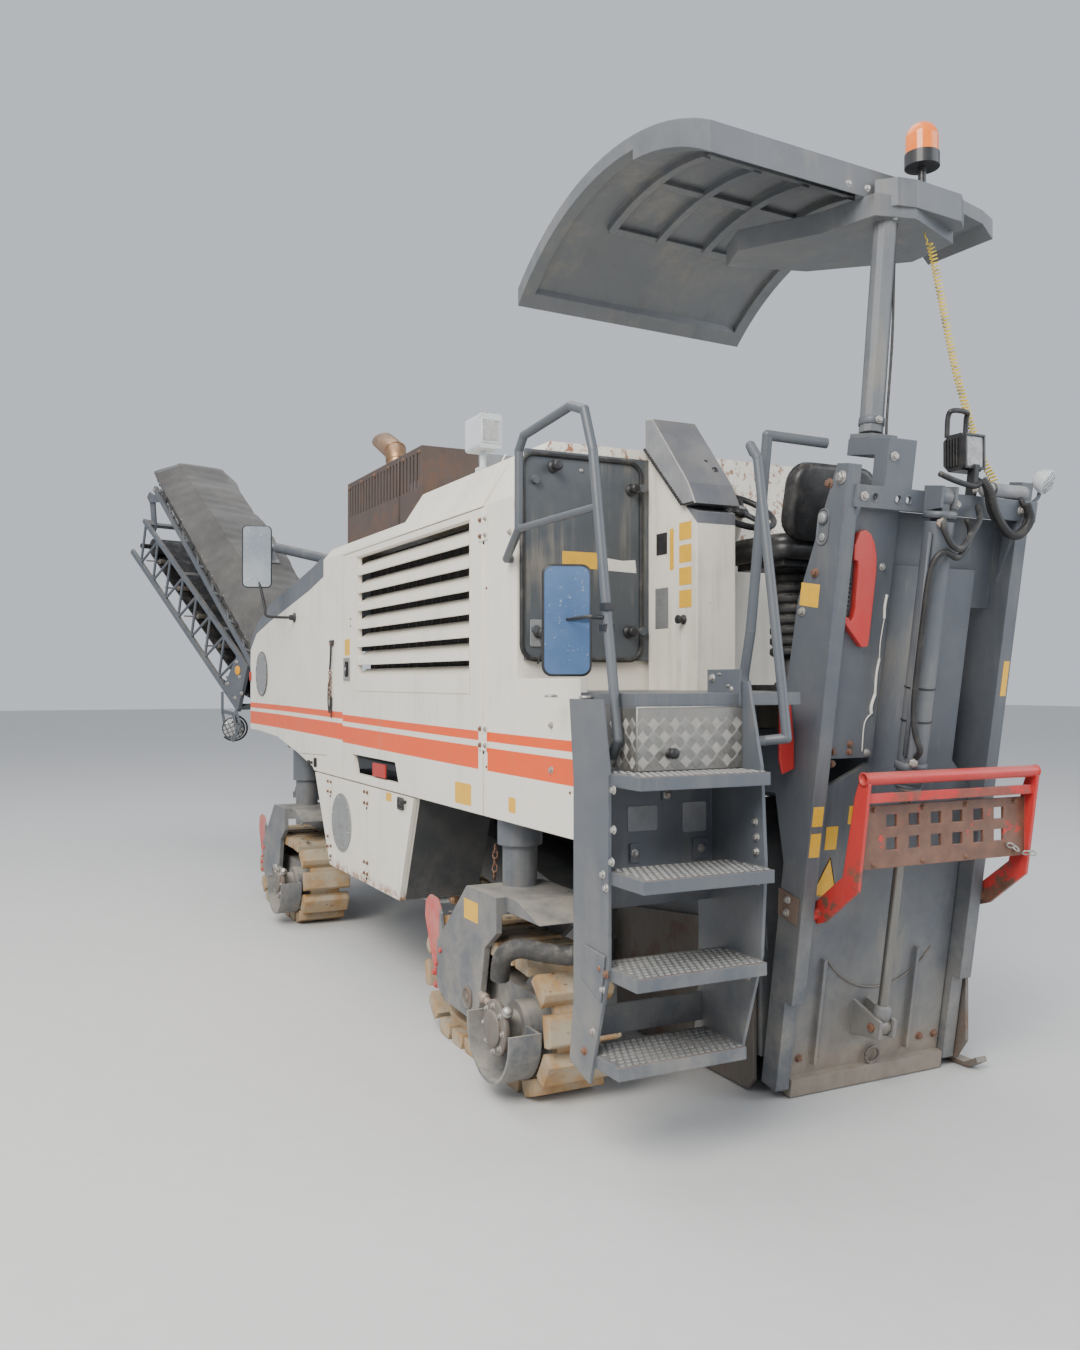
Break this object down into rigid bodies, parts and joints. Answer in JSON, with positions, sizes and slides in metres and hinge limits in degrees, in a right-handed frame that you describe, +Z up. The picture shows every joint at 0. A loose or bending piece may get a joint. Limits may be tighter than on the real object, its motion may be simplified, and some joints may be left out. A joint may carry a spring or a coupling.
{
  "type": "cold planer milling machine",
  "caption": "Compact tracked cold planer with side canopy, rear ladder, milling drum under a rear scraper and a folded loading conveyor slewed to one side.",
  "frame": {"origin": "on the ground under the middle of the whole machine's box, conveyor folded and slewed as in the picture", "axes": "+X forward towards the loading conveyor, +Y to the machine's left, +Z up"},
  "size_m": [9.598, 2.5742, 3.7982],
  "materials": {
    "cream_paint": "satin cream-white paint, dusty, with orange stripes",
    "slate_paint": "satin slate grey paint, chipped and dusty",
    "red_paint": "signal red paint, faded and scratched",
    "worn_steel": "worn and lightly rusted steel plate",
    "checker_plate": "raised-pattern aluminium plate",
    "engine_paint": "plain grey machine paint",
    "rod_chrome": "polished chromed rod",
    "burnt_pipe": "heat-tinted steel tube",
    "rusty_sheet": "rusty brown sheet",
    "track_pads": "ochre polyurethane pads grey with concrete dust",
    "black_rubber": "dull black rubber",
    "cord_plastic": "coiled cable, yellow and black",
    "black_plastic": "matt black moulded plastic",
    "seat_vinyl": "black vinyl",
    "beacon_plastic": "amber beacon lens on a black foot",
    "tarpaulin": "dusty grey tarpaulin"
  },
  "bodies": {
    "chassis": {"chassis_frame": "slate_paint", "engine_block": "engine_paint", "hood_shell": "cream_paint", "side_skirts": "cream_paint", "nose_roof": "slate_paint", "exhaust_guard": "rusty_sheet", "exhaust_pipe": "burnt_pipe", "air_box": "engine_paint", "rear_cover": "slate_paint", "console": "cream_paint", "seat": "seat_vinyl", "platform_deck": "slate_paint", "ladder": "slate_paint", "checker_box": "checker_plate", "handrails": "slate_paint", "rear_tower": "slate_paint", "drum_housing": "slate_paint", "canopy_mast": "slate_paint", "canopy_shell": "slate_paint", "beacon": "beacon_plastic", "lamps": "black_plastic", "mirrors": "black_plastic", "primary_conveyor": "slate_paint", "rear_legs": "slate_paint", "rear_left_track": "track_pads", "rear_right_track": "track_pads", "red_hooks": "red_paint", "scraper_barrel": "slate_paint", "leg_hose": "black_rubber", "coil_cord": "cord_plastic"},
    "drum": {"milling_drum": "worn_steel"},
    "scraper": {"scraper_plate": "worn_steel", "scraper_rod": "rod_chrome"},
    "guard": {"guard_frame": "red_paint"},
    "plate_left": {"side_plate_left": "slate_paint"},
    "plate_right": {"side_plate_right": "slate_paint"},
    "front_left": {"front_left_track": "track_pads", "front_left_leg": "slate_paint"},
    "front_right": {"front_right_track": "track_pads", "front_right_leg": "slate_paint"},
    "wheel": {"steering_wheel": "black_plastic"},
    "slew": {"slew_frame": "slate_paint"},
    "lift_barrel": {"luff_barrel": "slate_paint"},
    "lift_rod": {"luff_rod": "rod_chrome"},
    "conveyor_rear": {"conveyor_rear_frame": "slate_paint", "conveyor_rear_cover": "tarpaulin", "conveyor_rear_belt": "black_rubber"},
    "conveyor_front": {"conveyor_front_frame": "slate_paint", "conveyor_front_belt": "black_rubber"},
    "engine_door_left": {"louvre_door_left": "cream_paint"},
    "engine_door_right": {"louvre_door_right": "cream_paint"},
    "box_door_rear": {"skirt_door_rear": "cream_paint"},
    "box_door_front": {"skirt_door_front": "cream_paint"}
  },
  "joints": [
    {"name": "drum_spin", "type": "hinge", "parent": "chassis", "child": "drum", "pos_m": [-3.60904, -0.54714, 0.56], "axis": [0, 1, 0], "continuous": true},
    {"name": "scraper_lift", "type": "slide", "parent": "chassis", "child": "scraper", "axis": [-0.1564, 0, 0.9877], "range_m": [0, 0.35]},
    {"name": "guard_fold", "type": "hinge", "parent": "chassis", "child": "guard", "pos_m": [-4.35904, -0.61214, 0.74], "axis": [0, -1, 0], "range_deg": [0, 90]},
    {"name": "left_plate_lift", "type": "slide", "parent": "chassis", "child": "plate_left", "axis": [0, 0, 1], "range_m": [0, 0.25]},
    {"name": "right_plate_lift", "type": "slide", "parent": "chassis", "child": "plate_right", "axis": [0, 0, 1], "range_m": [0, 0.25]},
    {"name": "steer_left", "type": "hinge", "parent": "chassis", "child": "front_left", "pos_m": [0.20096, 0.57786, 1], "axis": [0, 0, 1], "range_deg": [-20, 20]},
    {"name": "steer_right", "type": "hinge", "parent": "chassis", "child": "front_right", "pos_m": [0.20096, -0.96214, 1], "axis": [0, 0, 1], "range_deg": [-20, 20]},
    {"name": "steering_wheel_turn", "type": "hinge", "parent": "chassis", "child": "wheel", "pos_m": [-3.74904, -0.27414, 2.352], "axis": [-0.5736, 0, 0.8192], "continuous": true},
    {"name": "conveyor_slew", "type": "hinge", "parent": "chassis", "child": "slew", "pos_m": [1.67096, -0.19214, 0.6], "axis": [0, 0, 1], "range_deg": [-70, 30]},
    {"name": "conveyor_luff", "type": "hinge", "parent": "slew", "child": "conveyor_rear", "pos_m": [1.67096, -0.19214, 1.09], "axis": [0.342, -0.9397, 0], "range_deg": [-30, 5]},
    {"name": "lift_barrel_swing", "type": "hinge", "parent": "slew", "child": "lift_barrel", "pos_m": [1.67096, -0.19214, 2.62], "axis": [0.342, -0.9397, 0], "range_deg": [-30, 5]},
    {"name": "lift_rod_slide", "type": "slide", "parent": "lift_barrel", "child": "lift_rod", "axis": [0.9199, 0.3348, 0.2044], "range_m": [-0.14, 0.8]},
    {"name": "conveyor_fold", "type": "hinge", "parent": "conveyor_rear", "child": "conveyor_front", "pos_m": [4.40523, 0.80305, 3.49063], "axis": [0.342, -0.9397, 0], "range_deg": [0, 187]},
    {"name": "engine_door_left_hinge", "type": "hinge", "parent": "chassis", "child": "engine_door_left", "pos_m": [-3.23904, 0.70786, 1.7], "axis": [0, 0, 1], "range_deg": [0, 100]},
    {"name": "engine_door_right_hinge", "type": "hinge", "parent": "chassis", "child": "engine_door_right", "pos_m": [-3.23904, -1.09214, 1.7], "axis": [0, 0, -1], "range_deg": [0, 100]},
    {"name": "box_door_rear_hinge", "type": "hinge", "parent": "chassis", "child": "box_door_rear", "pos_m": [-1.59304, 0.70786, 0.76], "axis": [0, 0, -1], "range_deg": [0, 90]},
    {"name": "box_door_front_hinge", "type": "hinge", "parent": "chassis", "child": "box_door_front", "pos_m": [-0.85304, 0.70786, 0.76], "axis": [0, 0, -1], "range_deg": [0, 90]}
  ],
  "couplings": [
    {"joint": "steer_right", "follows": "steer_left", "ratio": 1},
    {"joint": "lift_barrel_swing", "follows": "conveyor_luff", "ratio": 0.97},
    {"joint": "lift_rod_slide", "follows": "conveyor_luff", "m_per_rad": -1.5}
  ]
}
